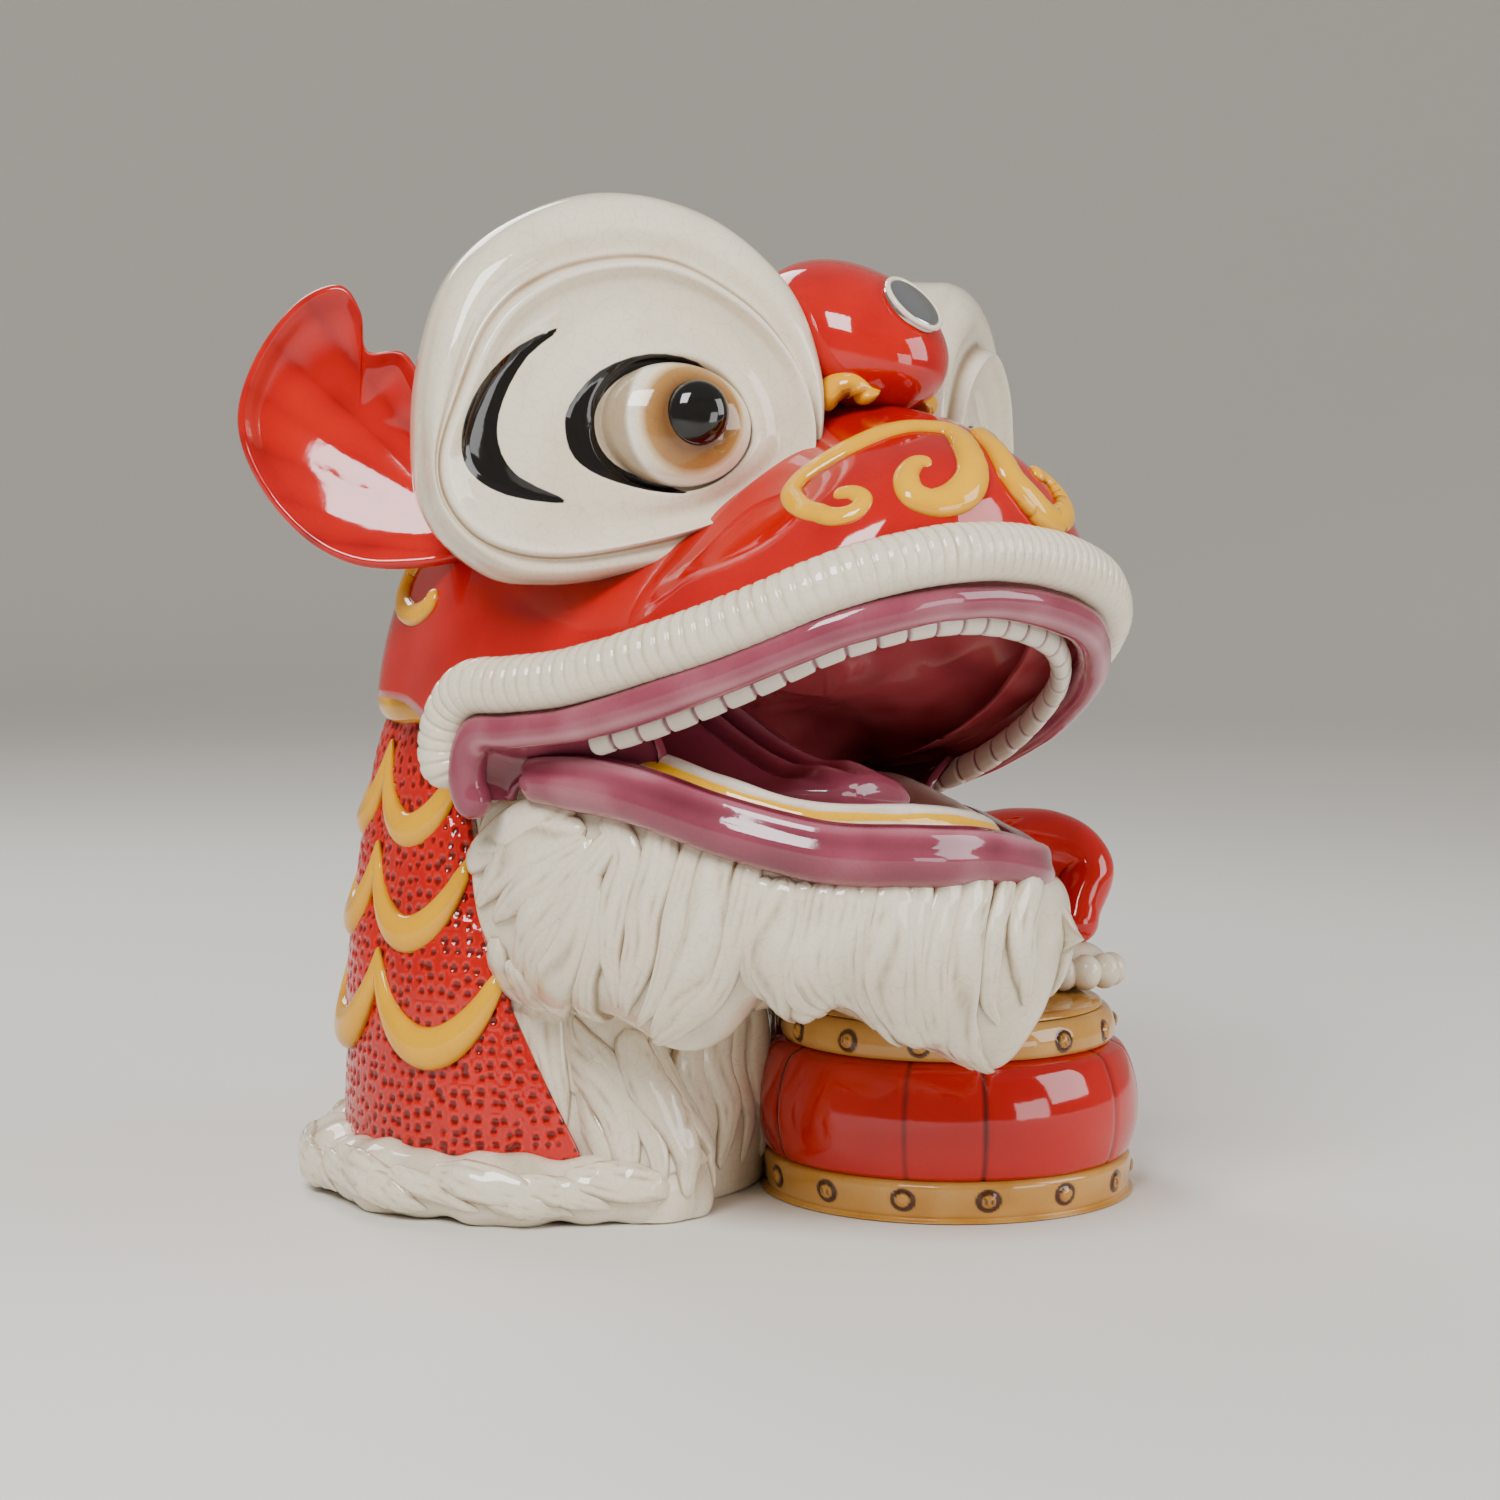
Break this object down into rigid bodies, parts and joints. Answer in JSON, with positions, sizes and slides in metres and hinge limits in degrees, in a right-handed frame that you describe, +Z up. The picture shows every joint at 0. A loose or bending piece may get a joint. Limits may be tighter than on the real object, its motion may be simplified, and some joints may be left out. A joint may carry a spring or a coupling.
{
  "type": "lion dance figurine",
  "caption": "Glazed ceramic lion dance lion with a wide open mouth, horned head, scaled cape and beard, its left paw resting on a drum.",
  "frame": {"origin": "centre of the bounding box's floor rectangle, on the surface the figurine stands on", "axes": "+Z up, the lion faces -Y, its left side with the drum is +X"},
  "size_m": [0.1974, 0.2258, 0.2447],
  "materials": {
    "red_glaze": "glossy red ceramic glaze",
    "cream_glaze": "glossy cream ceramic glaze with fine crazing",
    "yellow_glaze": "glossy yellow ceramic glaze",
    "mauve_glaze": "glossy mauve ceramic glaze",
    "palate_glaze": "glossy dark red ceramic glaze",
    "tan_glaze": "glossy tan ceramic glaze",
    "black_glaze": "glossy black ceramic glaze",
    "mirror_glass": "silvered glass disc"
  },
  "bodies": {
    "root": {"base_fur": "cream_glaze", "beard": "cream_glaze", "cape": "red_glaze", "chest": "cream_glaze", "drum_body": "red_glaze", "drum_lower_band": "tan_glaze", "drum_skin": "tan_glaze", "drum_upper_band": "tan_glaze", "head_shell": "red_glaze", "horn": "red_glaze", "horn_mirror": "mirror_glass", "left_arm": "red_glaze", "left_cheek_curl": "yellow_glaze", "left_ear": "red_glaze", "left_eye_mound": "cream_glaze", "left_eyeball": "cream_glaze", "left_horn_curl": "yellow_glaze", "left_nose_curl": "yellow_glaze", "left_nose_scroll": "yellow_glaze", "left_paw": "cream_glaze", "left_pupil": "black_glaze", "lip_fringe": "cream_glaze", "lower_gum": "cream_glaze", "lower_lip": "mauve_glaze", "neck_roll": "yellow_glaze", "palate": "palate_glaze", "right_cheek_curl": "yellow_glaze", "right_ear": "red_glaze", "right_eye_mound": "cream_glaze", "right_eyeball": "cream_glaze", "right_foreleg": "cream_glaze", "right_horn_curl": "yellow_glaze", "right_nose_curl": "yellow_glaze", "right_nose_scroll": "yellow_glaze", "right_pupil": "black_glaze", "scale_row_1": "yellow_glaze", "scale_row_2": "yellow_glaze", "scale_row_3": "yellow_glaze", "tongue": "mauve_glaze", "upper_lip": "mauve_glaze", "upper_teeth": "cream_glaze"}
  },
  "joints": []
}
